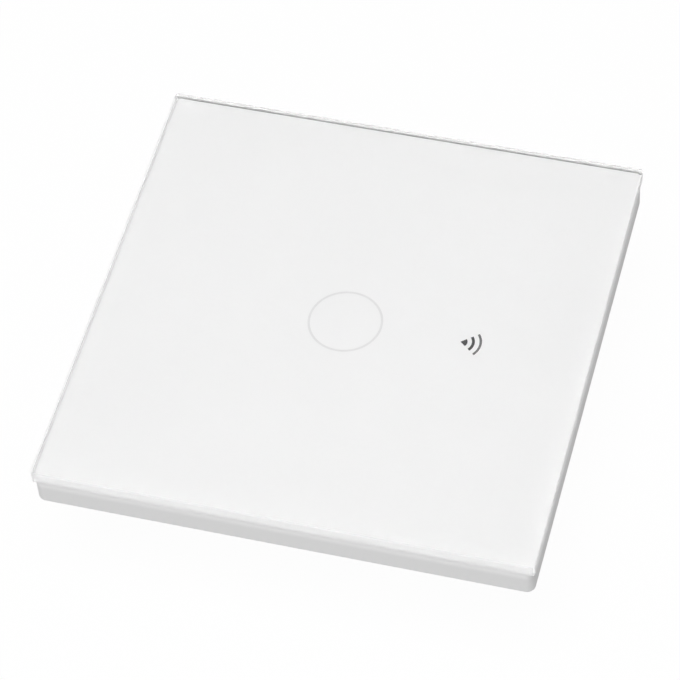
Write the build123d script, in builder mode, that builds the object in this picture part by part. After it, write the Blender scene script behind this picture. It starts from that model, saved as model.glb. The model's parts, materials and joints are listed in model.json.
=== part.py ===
from build123d import *
import os

# Touch light switch for a square wall box: a glass front that pulls off a wired base.
# Millimetres. +Z points out of the wall, +Y up along it, and the origin lies in the
# wall plane on the centre line: the front is at +Z and the housing reaches to -Z.

os.makedirs("parts", exist_ok=True)

# Driving dimensions: glass front
glass_size = 86.0
glass_thickness = 3.0
glass_corner = 0.6
glass_arris = 0.5
glass_back_arris = 0.2
print_thickness = 0.1
print_margin = 0.2
ring_radius = 6.3
ring_line = 0.4
indicator_y = 22.1
adhesive_thickness = 0.2
adhesive_margin = 1.0

# Driving dimensions: moulded frame
wall_gap = 0.3
bezel_inset = 0.2
bezel_height = 5.4
bezel_wall = 1.5
bezel_corner = 1.5
bezel_inner_corner = 0.5
bezel_foot_round = 0.5
web_thickness = 1.2
rib_thickness = 1.0
rib_height = 1.3
rib_gap = 1.0
boss_height = 0.6
boss_wall = 1.1
notch_width = 9.0
notch_height = 1.2

# Driving dimensions: snap hooks, and the windows that they enter
hook_x = 20.0
hook_setback = 4.8
hook_width = 6.0
hook_thickness = 1.2
hook_nose = 0.5
hook_nose_height = 1.0
hook_tip_z = 0.5
window_clearance = 0.45

# Driving dimensions: touch board and what lies on it
board_thickness = 1.6
board_corner = 1.5
touch_board_width = 44.0
touch_board_height = 60.0
board_screw_setback = 3.5
board_screw_radius = 1.0
board_screw_head_radius = 1.8
board_screw_head = 1.2
board_screw_head_clearance = 0.3
guide_wall = 2.9
guide_clearance = 0.1
pad_gap = 0.3
led_length = 2.0
led_width = 1.25
led_height = 0.7
led_pocket_clearance = 0.2
led_count = 4
shroud_radius = 3.6
shroud_wall = 0.8
touch_chip_width = 4.9
touch_chip_length = 3.9
touch_chip_height = 1.5
touch_chip_y = -4.0
radio_width = 16.0
radio_height = 24.0
radio_thickness = 0.8
radio_edge_gap = 2.0
shield_width = 12.6
shield_height = 15.0
shield_depth = 2.1
shield_corner = 0.6
shield_y_shift = -3.0
shield_edge_bevel = 0.25

# Driving dimensions: plug-in pins and their socket
pin_pitch = 2.54
pin_count = 8
pin_side = 0.64
pin_reach = 4.5
pin_point_share = 0.25
header_width = 2.5
header_height = 2.5
header_notch = 0.4
header_y = -12.0
header_gap = 0.3
socket_height = 5.0
socket_base = 0.6
socket_clearance = 0.1

# Driving dimensions: mounting plate
plate_inset = 2.2
plate_thickness = 1.6
plate_corner = 2.4
plate_rim_width = 1.3
plate_rim_height = 1.0
plate_rim_corner = 1.2
housing_seat_depth = 0.3
housing_seat_clearance = 0.2
box_screw_pitch = 60.0
slot_length = 7.0
slot_width = 4.4
slot_land = 1.6
slot_land_depth = 0.5
tray_wall = 1.2
tray_depth = 3.6
tray_clearance = 0.2
header_window_clearance = 0.3
tray_corner = 1.0

# Driving dimensions: back housing
housing_size = 50.0
housing_depth = 25.0
housing_wall = 1.6
housing_corner = 3.0
housing_rear_bevel = 0.8
post_setback = 4.0
post_radius = 2.6
shoulder_radius = 3.6
post_bore_depth = 7.5
vent_count = 5
vent_pitch = 3.6
vent_width = 1.5
vent_length_share = 0.56
housing_screw_radius = 1.25
housing_screw_length = 8.0
housing_screw_head_radius = 2.3
housing_screw_head = 1.5

# Driving dimensions: fasteners in general
thread_clearance = 0.05
recess_width = 0.6
recess_depth_share = 0.6
head_bevel_share = 0.25
recess_length_share = 1.2

# Driving dimensions: power board and its components
power_board_clearance = 0.2
post_hole_clearance = 0.2
relay_width = 19.0
relay_depth = 15.5
relay_floor_gap = 1.1
relay_base = 1.2
relay_step = 0.25
relay_corner = 0.6
core_width = 13.0
core_depth = 6.0
core_floor_gap = 4.1
core_leg = 1.75
core_centre_leg = 3.5
core_yoke = 2.0
coil_build = 2.7
coil_clearance = 0.1
coil_corner = 1.2
bulk_radius = 4.0
bulk_floor_gap = 4.1
bulk_bevel = 0.5
bulk_groove = 0.35
bulk_groove_z = 1.6
film_width = 13.0
film_depth = 5.0
film_floor_gap = 5.1
film_corner = 0.6
varistor_radius = 3.6
varistor_thickness = 3.0
varistor_bevel = 0.7
varistor_rise = 1.2
lead_radius = 0.35
lead_pitch = 5.0
lead_share = 0.8
fuse_radius = 1.6
fuse_length = 8.0
fuse_cap_length = 1.6
fuse_waist = 0.3
fuse_rise = 0.8
fuse_lead_reach = 1.4
fuse_bend = 0.9
rectifier_width = 4.7
rectifier_length = 3.9
rectifier_height = 1.5
rectifier_place_shares = (0.52, 0.26)
power_chip_width = 4.9
power_chip_length = 3.9
power_chip_height = 1.5
power_chip_place_shares = (-0.43, 0.26)
chip_leg_width = 0.4
chip_leg_reach = 1.0
chip_leg_height = 0.3
chip_draft_angle = 5.0
chip_leg_count = 4
rectifier_leg_count = 2
eight_leg_pitch = 1.27
four_leg_pitch = 2.5

# Shares of the free board before each component: two columns up from the terminals, and
# three rows across from the left
left_column_shares = (0.1, 0.25, 0.45)
right_column_shares = (0.2, 0.3, 0.25)
first_row_shares = (0.12, 0.62)
second_row_shares = (0.42, 0.24)
third_row_shares = (0.43, 0.09)

# Driving dimensions: terminals with rising cages
pole_count = 3
pole_pitch = 8.6
partition = 1.1
block_recess = 0.2
block_gap = 0.15
block_front_wall = 2.8
block_rear_wall = 1.2
block_back_wall = 1.2
block_roof = 2.3
wire_hole_clearance = 0.05
wire_funnel = 0.8
driver_hole_radius = 2.2
head_radius = 2.7
head_height = 2.2
head_gap = 0.3
head_slot_width = 0.8
head_slot_depth = 1.0
clamp_screw_radius = 1.75
closing_gap = 0.4
cage_clearance = 0.3
cage_side_wall = 1.1
cage_end_wall = 1.2
cage_length = 6.2
cage_stop_gap = 0.4
cage_edge_bevel = 0.25
strip_thickness = 1.0
strip_gap = 0.3
strip_side_gap = 0.35
tip_gap = 0.1
leg_gap = 0.8
leg_slot_gap = 0.1
screw_tip_bevel = 0.4

# One overrun for cuts that pass through a face
overrun = 1.0

# Levels of the front, from the wall outwards
rim_z = wall_gap + bezel_height
web_front_z = rim_z - adhesive_thickness
web_back_z = web_front_z - web_thickness
touch_board_top_z = web_back_z - boss_height
touch_board_back_z = touch_board_top_z - board_thickness
print_back_z = rim_z
glass_back_z = print_back_z + print_thickness
board_screw_head_z = touch_board_back_z - board_screw_head
header_end_z = touch_board_back_z - header_height

# Levels of the base, from the front to the rear
tray_floor_z = plate_thickness - tray_depth
tray_back_z = tray_floor_z - tray_wall
socket_top_z = header_end_z - header_gap
power_board_top_z = socket_top_z - socket_height
power_board_back_z = power_board_top_z - board_thickness
housing_floor_z = housing_wall - housing_depth

# Height under the power board, which the vents and the tall components share
component_space = power_board_back_z - housing_floor_z
relay_height = component_space - relay_floor_gap
core_height = component_space - core_floor_gap
bulk_height = component_space - bulk_floor_gap
film_height = component_space - film_floor_gap
vent_length = component_space * vent_length_share
vent_z = (power_board_back_z + housing_floor_z) / 2

# Room for the wire: what the walls, the head, the strip and the gaps leave of the block's
# height is shared by the wire and the cage's travel
block_rear_z = block_recess - housing_depth
block_solids = block_rear_wall + head_height + 2 * cage_end_wall + strip_thickness + block_roof
block_gaps = head_gap + 2 * cage_stop_gap + strip_gap
wire_space = (power_board_back_z - block_rear_z - block_solids - block_gaps + closing_gap) / 2
wire_hole_radius = wire_space / 2 - wire_hole_clearance
clamp_travel = wire_space - closing_gap

# Levels of the terminals, from the rear to the front
cavity_rear_z = block_rear_z + block_rear_wall
head_rear_z = cavity_rear_z + head_gap
head_front_z = head_rear_z + head_height
cage_rear_z = head_front_z + cage_stop_gap + clamp_travel
strip_rear_z = cage_rear_z + cage_end_wall + strip_gap
strip_front_z = strip_rear_z + strip_thickness
cage_inner_front_z = strip_front_z + wire_space
cage_front_z = cage_inner_front_z + cage_end_wall
cavity_front_z = cage_front_z + cage_stop_gap
wire_axis_z = strip_front_z + wire_space / 2
screw_tip_z = strip_rear_z - tip_gap

# Outlines that several pieces share
bezel_size = glass_size - 2 * bezel_inset
bezel_inner = bezel_size - 2 * bezel_wall
print_size = glass_size - 2 * print_margin
adhesive_size = bezel_inner - 2 * adhesive_margin
adhesive_corner = bezel_inner_corner
plate_size = glass_size - 2 * plate_inset
housing_inner = housing_size - 2 * housing_wall
housing_inner_corner = housing_corner - housing_wall
housing_seat_size = housing_size + 2 * housing_seat_clearance
tray_outer = housing_inner - 2 * tray_clearance
tray_inner = tray_outer - 2 * tray_wall
power_board_size = housing_inner - 2 * power_board_clearance
hook_reach = bezel_inner / 2 - hook_setback
hook_outer = hook_reach + hook_thickness
hook_nose_z = hook_tip_z + hook_nose_height
window_height = hook_thickness + hook_nose + 2 * window_clearance
window_middle = hook_reach + (hook_thickness + hook_nose) / 2
radio_y = tray_inner / 2 - radio_edge_gap - radio_height / 2
touch_chip_x = -(radio_width + touch_board_width) / 4
rib_length = touch_board_height + 2 * rib_gap
board_screw_pitch = touch_board_width - 2 * board_screw_setback
post_pitch = housing_inner - 2 * post_setback
guide_radius = ring_radius + guide_wall / 2
guide_inner_radius = ring_radius - guide_wall / 2
pad_radius = guide_inner_radius - pad_gap
board_screw_reach = web_front_z - touch_board_back_z
header_length = pin_count * pin_pitch
block_width = pole_count * pole_pitch + partition
cavity_width = pole_pitch - partition
cage_width = cavity_width - 2 * cage_clearance
cage_opening = cage_width - 2 * cage_side_wall
strip_width = cage_opening - 2 * strip_side_gap
block_front_y = -housing_size / 2
cavity_front_y = block_front_y + block_front_wall
cage_front_y = cavity_front_y + cage_stop_gap
screw_axis_y = cage_front_y + cage_length / 2
leg_front_y = cage_front_y + cage_length + leg_gap
leg_back_y = leg_front_y + strip_thickness
block_back_y = leg_back_y + block_back_wall
block_depth = block_back_y - block_front_y
pole_places = [(pole - (pole_count - 1) / 2) * pole_pitch for pole in range(pole_count)]

# Places of the components under the power board, column by column and row by row
board_half = power_board_size / 2
column_length = board_half - block_back_y
coil_half_depth = core_depth / 2 + coil_clearance + coil_build
fuse_half_length = fuse_length / 2 + fuse_lead_reach + lead_radius
left_free = column_length - relay_depth - film_depth - 2 * fuse_radius
right_free = column_length - 2 * coil_half_depth - 2 * bulk_radius - varistor_thickness
first_free = power_board_size - relay_width - core_width
second_free = power_board_size - film_width - 2 * bulk_radius
third_free = power_board_size - 2 * fuse_half_length - 2 * varistor_radius
relay_y = block_back_y + left_free * left_column_shares[0] + relay_depth / 2
film_y = relay_y + relay_depth / 2 + left_free * left_column_shares[1] + film_depth / 2
fuse_y = film_y + film_depth / 2 + left_free * left_column_shares[2] + fuse_radius
transformer_y = block_back_y + right_free * right_column_shares[0] + coil_half_depth
bulk_y = transformer_y + coil_half_depth + right_free * right_column_shares[1] + bulk_radius
varistor_y = bulk_y + bulk_radius + right_free * right_column_shares[2] + varistor_thickness / 2
relay_x = first_free * first_row_shares[0] + relay_width / 2 - board_half
transformer_x = relay_x + relay_width / 2 + first_free * first_row_shares[1] + core_width / 2
film_x = second_free * second_row_shares[0] + film_width / 2 - board_half
bulk_x = film_x + film_width / 2 + second_free * second_row_shares[1] + bulk_radius
fuse_x = third_free * third_row_shares[0] + fuse_half_length - board_half
varistor_x = fuse_x + fuse_half_length + third_free * third_row_shares[1] + varistor_radius
rectifier_x, rectifier_y = [board_half * share for share in rectifier_place_shares]
power_chip_x, power_chip_y = [board_half * share for share in power_chip_place_shares]

# Glass panel: a toughened square with ground edges
with BuildPart() as glass_panel:
    with BuildSketch(Plane.XY.offset(glass_back_z)):
        RectangleRounded(glass_size, glass_size, glass_corner)
    extrude(amount=glass_thickness)
    chamfer(glass_panel.faces().sort_by(Axis.Z)[-1].edges(), glass_arris)
    chamfer(glass_panel.faces().sort_by(Axis.Z)[0].edges(), glass_back_arris)
glass_panel.part.label = "glass_panel"
export_step(glass_panel.part, "parts/glass_panel.step")

# White enamel behind the glass: a sheet and a disc, with the ring left bare between them
with BuildPart() as back_print:
    with BuildSketch(Plane.XY.offset(print_back_z)):
        RectangleRounded(print_size, print_size, glass_corner - print_margin)
        Circle(ring_radius + ring_line / 2, mode=Mode.SUBTRACT)
        Circle(ring_radius - ring_line / 2)
    extrude(amount=print_thickness)
back_print.part.label = "back_print"
export_step(back_print.part, "parts/back_print.step")

# Adhesive sheet in the bed of the frame's web
with BuildPart() as adhesive_sheet:
    with BuildSketch(Plane.XY.offset(web_front_z)):
        RectangleRounded(adhesive_size, adhesive_size, adhesive_corner)
        Circle(guide_radius + guide_clearance, mode=Mode.SUBTRACT)
        with Locations((0, indicator_y)):
            Circle(shroud_radius + guide_clearance, mode=Mode.SUBTRACT)
    extrude(amount=adhesive_thickness)
adhesive_sheet.part.label = "adhesive_sheet"
export_step(adhesive_sheet.part, "parts/adhesive_sheet.step")

# Moulded frame: walls, a web that carries the glass, bosses, ribs, hooks and a pry notch
with BuildPart() as bezel_frame:
    with BuildSketch(Plane.XY.offset(wall_gap)):
        RectangleRounded(bezel_size, bezel_size, bezel_corner)
    extrude(amount=bezel_height)
    fillet(bezel_frame.faces().sort_by(Axis.Z)[0].edges(), bezel_foot_round)
    with BuildSketch(Plane.XY.offset(wall_gap)):
        RectangleRounded(bezel_inner, bezel_inner, bezel_inner_corner)
    extrude(amount=web_back_z - wall_gap, mode=Mode.SUBTRACT)
    with BuildSketch(Plane.XY.offset(web_front_z)):
        RectangleRounded(bezel_inner, bezel_inner, bezel_inner_corner)
    extrude(amount=adhesive_thickness, mode=Mode.SUBTRACT)
    # Bosses for the board's screws
    with BuildSketch(Plane.XY.offset(touch_board_top_z)):
        with GridLocations(board_screw_pitch, board_screw_pitch, 2, 2):
            Circle(board_screw_radius + boss_wall)
    extrude(amount=boss_height)
    # Stiffening ribs on both sides of the board, and across its ends
    with BuildSketch(Plane.XY.offset(web_back_z)):
        with GridLocations(rib_length, 0, 2, 1):
            Rectangle(rib_thickness, rib_length)
        with GridLocations(0, rib_length + rib_thickness, 1, 2):
            Rectangle(rib_length + rib_thickness, rib_thickness)
    extrude(amount=-rib_height)
    # Hooks at the top and bottom edges, with noses that point outwards
    for x_side in (-1, 1):
        for y_side in (-1, 1):
            with BuildSketch(Plane.YZ.offset(x_side * hook_x)):
                with BuildLine():
                    Polyline(
                        (y_side * hook_reach, web_back_z),
                        (y_side * hook_reach, hook_tip_z),
                        (y_side * hook_outer, hook_tip_z),
                        (y_side * (hook_outer + hook_nose), hook_tip_z + hook_nose_height / 2),
                        (y_side * (hook_outer + hook_nose), hook_nose_z),
                        (y_side * hook_outer, hook_nose_z + hook_nose),
                        (y_side * hook_outer, web_back_z),
                        close=True,
                    )
                make_face()
            extrude(amount=hook_width / 2, both=True)
    # Openings for the light guide, the pictogram's well and the screws
    with BuildSketch(Plane.XY.offset(web_front_z)):
        Circle(guide_radius + guide_clearance)
        with Locations((0, indicator_y)):
            Circle(shroud_radius + guide_clearance)
        with GridLocations(board_screw_pitch, board_screw_pitch, 2, 2):
            Circle(board_screw_radius + thread_clearance)
    extrude(amount=-(web_thickness + boss_height), mode=Mode.SUBTRACT)
    # Pry notch in the middle of the bottom edge
    with Locations((0, -bezel_size / 2, wall_gap)):
        Box(notch_width, 2 * (bezel_wall + overrun), 2 * notch_height, mode=Mode.SUBTRACT)
bezel_frame.part.label = "bezel_frame"
export_step(bezel_frame.part, "parts/bezel_frame.step")

# Light guide behind the ring, with a pocket over each lamp
with BuildPart() as ring_light_guide:
    with BuildSketch(Plane.XY.offset(touch_board_top_z)):
        Circle(guide_radius)
        Circle(guide_inner_radius, mode=Mode.SUBTRACT)
    extrude(amount=print_back_z - touch_board_top_z)
    with BuildSketch(Plane.XY.offset(touch_board_top_z)):
        with PolarLocations(ring_radius, led_count):
            Rectangle(led_width + 2 * led_pocket_clearance, led_length + 2 * led_pocket_clearance)
    extrude(amount=led_height + led_pocket_clearance, mode=Mode.SUBTRACT)
ring_light_guide.part.label = "ring_light_guide"
export_step(ring_light_guide.part, "parts/ring_light_guide.step")

# Lamps of the ring, on the touch board
with BuildPart() as ring_leds:
    with BuildSketch(Plane.XY.offset(touch_board_top_z)):
        with PolarLocations(ring_radius, led_count):
            Rectangle(led_width, led_length)
    extrude(amount=led_height)
ring_leds.part.label = "ring_leds"
export_step(ring_leds.part, "parts/ring_leds.step")

# Conductive pad that senses the finger through the glass
with BuildPart() as touch_pad:
    with BuildSketch(Plane.XY.offset(touch_board_top_z)):
        Circle(pad_radius)
    extrude(amount=print_back_z - touch_board_top_z)
touch_pad.part.label = "touch_pad"
export_step(touch_pad.part, "parts/touch_pad.step")

# Dark well behind the pictogram, and its lamp
with BuildPart() as indicator_shroud:
    with BuildSketch(Plane.XY.offset(touch_board_top_z)):
        with Locations((0, indicator_y)):
            Circle(shroud_radius)
            Circle(shroud_radius - shroud_wall, mode=Mode.SUBTRACT)
    extrude(amount=print_back_z - touch_board_top_z)
indicator_shroud.part.label = "indicator_shroud"
export_step(indicator_shroud.part, "parts/indicator_shroud.step")

with BuildPart() as indicator_led:
    with BuildSketch(Plane.XY.offset(touch_board_top_z)):
        with Locations((0, indicator_y)):
            Rectangle(led_length, led_width)
    extrude(amount=led_height)
indicator_led.part.label = "indicator_led"
export_step(indicator_led.part, "parts/indicator_led.step")

# Touch board on the frame's bosses
with BuildPart() as touch_board:
    with BuildSketch(Plane.XY.offset(touch_board_back_z)):
        RectangleRounded(touch_board_width, touch_board_height, board_corner)
        with GridLocations(board_screw_pitch, board_screw_pitch, 2, 2):
            Circle(board_screw_radius + thread_clearance, mode=Mode.SUBTRACT)
    extrude(amount=board_thickness)
touch_board.part.label = "touch_board"
export_step(touch_board.part, "parts/touch_board.step")

# Four pan-head screws from behind the touch board into the bosses
with BuildPart() as board_screws:
    with BuildSketch(Plane.XY.offset(touch_board_back_z)):
        with GridLocations(board_screw_pitch, board_screw_pitch, 2, 2):
            Circle(board_screw_radius)
    extrude(amount=board_screw_reach)
    with BuildSketch(Plane.XY.offset(touch_board_back_z)):
        with GridLocations(board_screw_pitch, board_screw_pitch, 2, 2):
            Circle(board_screw_head_radius)
    extrude(amount=-board_screw_head)
    chamfer(board_screws.faces().group_by(Axis.Z)[0].edges(), board_screw_head * head_bevel_share)
    with BuildSketch(Plane.XY.offset(board_screw_head_z)):
        with GridLocations(board_screw_pitch, board_screw_pitch, 2, 2):
            Rectangle(board_screw_head_radius * recess_length_share, recess_width)
            Rectangle(recess_width, board_screw_head_radius * recess_length_share)
    extrude(amount=board_screw_head * recess_depth_share, mode=Mode.SUBTRACT)
board_screws.part.label = "board_screws"
export_step(board_screws.part, "parts/board_screws.step")


# Plane on the underside of a board, at a place on it: components hang from it to -Z
def under(x, y, z):
    return Plane(origin=(x, y, z), x_dir=(1, 0, 0), z_dir=(0, 0, -1))


# Moulded chip with legs along two sides, standing on a plane
def chip(width, length, height, leg_pitch, leg_count, plane):
    with BuildPart() as body:
        with BuildSketch(plane.offset(chip_leg_height / 2)):
            Rectangle(width, length)
        extrude(amount=height - chip_leg_height / 2, taper=chip_draft_angle)
        with BuildSketch(plane):
            with GridLocations(leg_pitch, length, leg_count, 2):
                Rectangle(chip_leg_width, 2 * chip_leg_reach)
        extrude(amount=chip_leg_height)
    return body.part


# Touch chip behind the touch board
touch_chip = chip(
    touch_chip_width, touch_chip_length, touch_chip_height, eight_leg_pitch, chip_leg_count,
    under(touch_chip_x, touch_chip_y, touch_board_back_z),
)
touch_chip.label = "touch_chip"
export_step(touch_chip, "parts/touch_chip.step")

# Radio module: its own small board, and the can that screens it
with BuildPart() as radio_board:
    with BuildSketch(under(0, radio_y, touch_board_back_z)):
        Rectangle(radio_width, radio_height)
    extrude(amount=radio_thickness)
radio_board.part.label = "radio_board"
export_step(radio_board.part, "parts/radio_board.step")

with BuildPart() as radio_shield:
    with BuildSketch(under(0, radio_y + shield_y_shift, touch_board_back_z - radio_thickness)):
        RectangleRounded(shield_width, shield_height, shield_corner)
    extrude(amount=shield_depth)
    chamfer(radio_shield.faces().sort_by(Axis.Z)[0].edges(), shield_edge_bevel)
radio_shield.part.label = "radio_shield"
export_step(radio_shield.part, "parts/radio_shield.step")

# Pin header under the touch board: a notched bar, bored for its square pins
with BuildPart() as pin_header:
    with BuildSketch(under(0, header_y, touch_board_back_z)):
        with GridLocations(pin_pitch, 0, pin_count, 1):
            Rectangle(pin_pitch, header_width - 2 * header_notch)
            Rectangle(pin_pitch - 2 * header_notch, header_width)
            Rectangle(pin_side, pin_side, mode=Mode.SUBTRACT)
    extrude(amount=header_height)
pin_header.part.label = "pin_header"
export_step(pin_header.part, "parts/pin_header.step")

with BuildPart() as header_pins:
    with BuildSketch(under(0, header_y, touch_board_back_z)):
        with GridLocations(pin_pitch, 0, pin_count, 1):
            Rectangle(pin_side, pin_side)
    extrude(amount=header_height + pin_reach)
    chamfer(header_pins.faces().group_by(Axis.Z)[0].edges(), pin_side * pin_point_share)
header_pins.part.label = "header_pins"
export_step(header_pins.part, "parts/header_pins.step")

# Mounting plate: a flange against the wall, a rim round it and a tray into the box
with BuildPart() as mounting_plate:
    with BuildSketch(Plane.XY):
        RectangleRounded(plate_size, plate_size, plate_corner)
    extrude(amount=plate_thickness + plate_rim_height)
    with BuildSketch(Plane.XY.offset(plate_thickness)):
        RectangleRounded(plate_size - 2 * plate_rim_width, plate_size - 2 * plate_rim_width, plate_rim_corner)
    extrude(amount=plate_rim_height, mode=Mode.SUBTRACT)
    # Seat for the housing's rim, and the tray that reaches down inside it
    with BuildSketch(Plane.XY):
        RectangleRounded(housing_seat_size, housing_seat_size, housing_corner + housing_seat_clearance)
    extrude(amount=housing_seat_depth, mode=Mode.SUBTRACT)
    with BuildSketch(Plane.XY.offset(tray_back_z)):
        RectangleRounded(tray_outer, tray_outer, housing_inner_corner)
    extrude(amount=housing_seat_depth - tray_back_z)
    with BuildSketch(Plane.XY.offset(tray_floor_z)):
        RectangleRounded(tray_inner, tray_inner, tray_corner)
    extrude(amount=tray_depth, mode=Mode.SUBTRACT)
    # Room for the heads of the touch board's screws, where the board reaches over the flange
    with BuildSketch(Plane.XY.offset(board_screw_head_z - board_screw_head_clearance)):
        with GridLocations(board_screw_pitch, board_screw_pitch, 2, 2):
            Circle(board_screw_head_radius + board_screw_head_clearance)
    extrude(amount=plate_thickness + plate_rim_height, mode=Mode.SUBTRACT)
    # Slots for the wall box's screws, each with a sunk land for the head
    with BuildSketch(Plane.XY.offset(plate_thickness)):
        with GridLocations(box_screw_pitch, 0, 2, 1):
            SlotOverall(slot_length + 2 * slot_land, slot_width + 2 * slot_land)
    extrude(amount=-slot_land_depth, mode=Mode.SUBTRACT)
    with BuildSketch(Plane.XY.offset(plate_thickness)):
        with GridLocations(box_screw_pitch, 0, 2, 1):
            SlotOverall(slot_length, slot_width)
    extrude(amount=-plate_thickness, mode=Mode.SUBTRACT)
    # Windows that the frame's hooks enter
    with BuildSketch(Plane.XY.offset(plate_thickness)):
        with GridLocations(2 * hook_x, 2 * window_middle, 2, 2):
            Rectangle(hook_width + 2 * window_clearance, window_height)
    extrude(amount=-plate_thickness, mode=Mode.SUBTRACT)
    # Window for the socket, and holes for the housing's screws, in the tray's floor
    with BuildSketch(Plane.XY.offset(tray_floor_z)):
        with Locations((0, header_y)):
            Rectangle(header_length + 2 * header_window_clearance, header_width + 2 * header_window_clearance)
        with GridLocations(post_pitch, post_pitch, 2, 2):
            Circle(housing_screw_radius + thread_clearance)
    extrude(amount=-tray_wall, mode=Mode.SUBTRACT)
mounting_plate.part.label = "mounting_plate"
export_step(mounting_plate.part, "parts/mounting_plate.step")

# Back housing: a cup behind the plate, with stepped posts, vents and a notch for the terminals
with BuildPart() as back_housing:
    with BuildSketch(Plane.XY.offset(housing_seat_depth)):
        RectangleRounded(housing_size, housing_size, housing_corner)
    extrude(amount=-(housing_seat_depth + housing_depth))
    chamfer(back_housing.faces().sort_by(Axis.Z)[0].edges(), housing_rear_bevel)
    with BuildSketch(Plane.XY.offset(housing_seat_depth)):
        RectangleRounded(housing_inner, housing_inner, housing_inner_corner)
    extrude(amount=housing_floor_z - housing_seat_depth, mode=Mode.SUBTRACT)
    with BuildSketch(Plane.XY.offset(housing_floor_z)):
        with GridLocations(post_pitch, post_pitch, 2, 2):
            Circle(shoulder_radius)
    extrude(amount=power_board_back_z - housing_floor_z)
    with BuildSketch(Plane.XY.offset(housing_floor_z)):
        with GridLocations(post_pitch, post_pitch, 2, 2):
            Circle(post_radius)
    extrude(amount=tray_back_z - housing_floor_z)
    with BuildSketch(Plane.XY.offset(tray_back_z)):
        with GridLocations(post_pitch, post_pitch, 2, 2):
            Circle(housing_screw_radius + thread_clearance)
    extrude(amount=-post_bore_depth, mode=Mode.SUBTRACT)
    # Notch through the bottom wall and the rear, which the terminal block fills
    with BuildSketch(Plane.XY.offset(power_board_back_z)):
        with Locations((0, (block_back_y + block_gap + block_front_y - overrun) / 2)):
            Rectangle(block_width + 2 * block_gap, block_depth + block_gap + overrun)
    extrude(amount=-(housing_depth + power_board_back_z), mode=Mode.SUBTRACT)
    # Vents in both side walls
    with BuildSketch(Plane.YZ.offset(housing_size / 2)):
        with Locations((0, vent_z)):
            with GridLocations(vent_pitch, 0, vent_count, 1):
                Rectangle(vent_width, vent_length)
    extrude(amount=-housing_size, mode=Mode.SUBTRACT)
back_housing.part.label = "back_housing"
export_step(back_housing.part, "parts/back_housing.step")

# Four screws through the tray's floor into the posts
with BuildPart() as housing_screws:
    with BuildSketch(Plane.XY.offset(tray_floor_z)):
        with GridLocations(post_pitch, post_pitch, 2, 2):
            Circle(housing_screw_radius)
    extrude(amount=-housing_screw_length)
    with BuildSketch(Plane.XY.offset(tray_floor_z)):
        with GridLocations(post_pitch, post_pitch, 2, 2):
            Circle(housing_screw_head_radius)
    extrude(amount=housing_screw_head)
    chamfer(housing_screws.faces().group_by(Axis.Z)[-1].edges(), housing_screw_head * head_bevel_share)
    with BuildSketch(Plane.XY.offset(tray_floor_z + housing_screw_head)):
        with GridLocations(post_pitch, post_pitch, 2, 2):
            Rectangle(housing_screw_head_radius * recess_length_share, recess_width)
            Rectangle(recess_width, housing_screw_head_radius * recess_length_share)
    extrude(amount=-housing_screw_head * recess_depth_share, mode=Mode.SUBTRACT)
housing_screws.part.label = "housing_screws"
export_step(housing_screws.part, "parts/housing_screws.step")

# Power board on the shoulders of the posts
with BuildPart() as power_board:
    with BuildSketch(Plane.XY.offset(power_board_back_z)):
        RectangleRounded(power_board_size, power_board_size, board_corner)
        with GridLocations(post_pitch, post_pitch, 2, 2):
            Circle(post_radius + post_hole_clearance, mode=Mode.SUBTRACT)
    extrude(amount=board_thickness)
power_board.part.label = "power_board"
export_step(power_board.part, "parts/power_board.step")

# Socket on the power board, with a blind square hole for each pin
with BuildPart() as socket_header:
    with BuildSketch(Plane.XY.offset(power_board_top_z)):
        with Locations((0, header_y)):
            with GridLocations(pin_pitch, 0, pin_count, 1):
                Rectangle(pin_pitch, header_width)
    extrude(amount=socket_height)
    with BuildSketch(Plane.XY.offset(socket_top_z)):
        with Locations((0, header_y)):
            with GridLocations(pin_pitch, 0, pin_count, 1):
                Rectangle(pin_side + 2 * socket_clearance, pin_side + 2 * socket_clearance)
    extrude(amount=socket_base - socket_height, mode=Mode.SUBTRACT)
socket_header.part.label = "socket_header"
export_step(socket_header.part, "parts/socket_header.step")

# Relay: a sealed case on a slightly wider base
with BuildPart() as relay:
    with BuildSketch(under(relay_x, relay_y, power_board_back_z)):
        Rectangle(relay_width, relay_depth)
    extrude(amount=relay_base)
    with BuildSketch(under(relay_x, relay_y, power_board_back_z - relay_base)):
        RectangleRounded(relay_width - 2 * relay_step, relay_depth - 2 * relay_step, relay_corner)
    extrude(amount=relay_height - relay_base)
    chamfer(relay.faces().sort_by(Axis.Z)[0].edges(), relay_corner / 2)
relay.part.label = "relay"
export_step(relay.part, "parts/relay.step")

# Transformer: a ferrite core with two windows, and the coil round its centre leg
window_width = (core_width - 2 * core_leg - core_centre_leg) / 2
window_depth = core_height - 2 * core_yoke
with BuildPart() as transformer_core:
    with BuildSketch(Plane(
        origin=(transformer_x, transformer_y, power_board_back_z - core_height / 2),
        x_dir=(1, 0, 0),
        z_dir=(0, -1, 0),
    )):
        Rectangle(core_width, core_height)
        with GridLocations(core_centre_leg + window_width, 0, 2, 1):
            Rectangle(window_width, window_depth, mode=Mode.SUBTRACT)
    extrude(amount=core_depth / 2, both=True)
transformer_core.part.label = "transformer_core"
export_step(transformer_core.part, "parts/transformer_core.step")

with BuildPart() as transformer_coil:
    with BuildSketch(under(transformer_x, transformer_y, power_board_back_z - core_yoke - coil_clearance)):
        RectangleRounded(
            core_centre_leg + 2 * (coil_clearance + coil_build),
            core_depth + 2 * (coil_clearance + coil_build),
            coil_corner,
        )
        Rectangle(core_centre_leg + 2 * coil_clearance, core_depth + 2 * coil_clearance, mode=Mode.SUBTRACT)
    extrude(amount=window_depth - 2 * coil_clearance)
transformer_coil.part.label = "transformer_coil"
export_step(transformer_coil.part, "parts/transformer_coil.step")

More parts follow.
